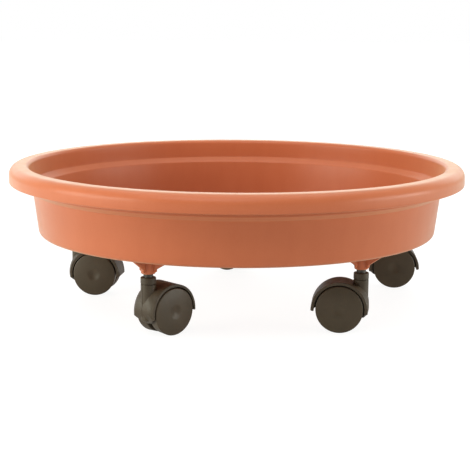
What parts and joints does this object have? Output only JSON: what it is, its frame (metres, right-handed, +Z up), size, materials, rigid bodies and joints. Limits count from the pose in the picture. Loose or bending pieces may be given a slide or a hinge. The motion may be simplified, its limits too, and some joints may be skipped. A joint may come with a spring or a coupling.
{
  "type": "plant pot caddy",
  "caption": "Round deep-rimmed saucer tray on hooded twin-wheel swivel casters, for standing a large plant pot on and rolling it about.",
  "frame": {"origin": "on the floor plane the wheels stand on, under the tray's axis", "axes": "+Z up along the tray's axis; -Y is the front, with the two nearest casters either side of it; +X to the right seen from the front"},
  "size_m": [0.412, 0.412, 0.129],
  "materials": {
    "tray": "satin moulded polypropylene, terracotta",
    "hood": "satin moulded plastic, dark brown",
    "wheel": "satin moulded plastic, dark brown",
    "bush": "satin moulded plastic, dark brown",
    "steel": "zinc-plated steel"
  },
  "bodies": {
    "tray": {"tray": "tray", "caster1_stem_pin": "steel", "caster1_grip_ring": "steel", "caster2_stem_pin": "steel", "caster2_grip_ring": "steel", "caster3_stem_pin": "steel", "caster3_grip_ring": "steel", "caster4_stem_pin": "steel", "caster4_grip_ring": "steel", "caster5_stem_pin": "steel", "caster5_grip_ring": "steel"},
    "caster1_swivel": {"caster1_housing": "hood", "caster1_swivel_bush": "bush", "caster1_axle": "steel"},
    "caster1_left_wheel": {"caster1_wheel_left": "wheel"},
    "caster1_right_wheel": {"caster1_wheel_right": "wheel"},
    "caster2_swivel": {"caster2_housing": "hood", "caster2_swivel_bush": "bush", "caster2_axle": "steel"},
    "caster2_left_wheel": {"caster2_wheel_left": "wheel"},
    "caster2_right_wheel": {"caster2_wheel_right": "wheel"},
    "caster3_swivel": {"caster3_housing": "hood", "caster3_swivel_bush": "bush", "caster3_axle": "steel"},
    "caster3_left_wheel": {"caster3_wheel_left": "wheel"},
    "caster3_right_wheel": {"caster3_wheel_right": "wheel"},
    "caster4_swivel": {"caster4_housing": "hood", "caster4_swivel_bush": "bush", "caster4_axle": "steel"},
    "caster4_left_wheel": {"caster4_wheel_left": "wheel"},
    "caster4_right_wheel": {"caster4_wheel_right": "wheel"},
    "caster5_swivel": {"caster5_housing": "hood", "caster5_swivel_bush": "bush", "caster5_axle": "steel"},
    "caster5_left_wheel": {"caster5_wheel_left": "wheel"},
    "caster5_right_wheel": {"caster5_wheel_right": "wheel"}
  },
  "joints": [
    {"name": "caster1_swivel_turn", "type": "hinge", "parent": "tray", "child": "caster1_swivel", "pos_m": [-0.07216, -0.13401, 0.044], "axis": [0, 0, 1], "continuous": true},
    {"name": "caster1_left_wheel_roll", "type": "hinge", "parent": "caster1_swivel", "child": "caster1_left_wheel", "pos_m": [-0.05939, -0.12189, 0.02], "axis": [-0.6884, 0.7254, 0], "continuous": true},
    {"name": "caster1_right_wheel_roll", "type": "hinge", "parent": "caster1_swivel", "child": "caster1_right_wheel", "pos_m": [-0.05939, -0.12189, 0.02], "axis": [-0.6884, 0.7254, 0], "continuous": true},
    {"name": "caster2_swivel_turn", "type": "hinge", "parent": "tray", "child": "caster2_swivel", "pos_m": [0.10515, -0.11004, 0.044], "axis": [0, 0, 1], "continuous": true},
    {"name": "caster2_left_wheel_roll", "type": "hinge", "parent": "caster2_swivel", "child": "caster2_left_wheel", "pos_m": [0.08765, -0.1082, 0.02], "axis": [-0.1045, -0.9945, 0], "continuous": true},
    {"name": "caster2_right_wheel_roll", "type": "hinge", "parent": "caster2_swivel", "child": "caster2_right_wheel", "pos_m": [0.08765, -0.1082, 0.02], "axis": [-0.1045, -0.9945, 0], "continuous": true},
    {"name": "caster3_swivel_turn", "type": "hinge", "parent": "tray", "child": "caster3_swivel", "pos_m": [0.13714, 0.066, 0.044], "axis": [0, 0, 1], "continuous": true},
    {"name": "caster3_left_wheel_roll", "type": "hinge", "parent": "caster3_swivel", "child": "caster3_left_wheel", "pos_m": [0.15471, 0.06496, 0.02], "axis": [0.0593, 0.9982, 0], "continuous": true},
    {"name": "caster3_right_wheel_roll", "type": "hinge", "parent": "caster3_swivel", "child": "caster3_right_wheel", "pos_m": [0.15471, 0.06496, 0.02], "axis": [0.0593, 0.9982, 0], "continuous": true},
    {"name": "caster4_swivel_turn", "type": "hinge", "parent": "tray", "child": "caster4_swivel", "pos_m": [-0.02039, 0.15083, 0.044], "axis": [0, 0, 1], "continuous": true},
    {"name": "caster4_left_wheel_roll", "type": "hinge", "parent": "caster4_swivel", "child": "caster4_left_wheel", "pos_m": [-0.00523, 0.14189, 0.02], "axis": [0.5075, 0.8616, 0], "continuous": true},
    {"name": "caster4_right_wheel_roll", "type": "hinge", "parent": "caster4_swivel", "child": "caster4_right_wheel", "pos_m": [-0.00523, 0.14189, 0.02], "axis": [0.5075, 0.8616, 0], "continuous": true},
    {"name": "caster5_swivel_turn", "type": "hinge", "parent": "tray", "child": "caster5_swivel", "pos_m": [-0.14975, 0.02721, 0.044], "axis": [0, 0, 1], "continuous": true},
    {"name": "caster5_left_wheel_roll", "type": "hinge", "parent": "caster5_swivel", "child": "caster5_left_wheel", "pos_m": [-0.13231, 0.02486, 0.02], "axis": [0.134, 0.991, 0], "continuous": true},
    {"name": "caster5_right_wheel_roll", "type": "hinge", "parent": "caster5_swivel", "child": "caster5_right_wheel", "pos_m": [-0.13231, 0.02486, 0.02], "axis": [0.134, 0.991, 0], "continuous": true}
  ]
}
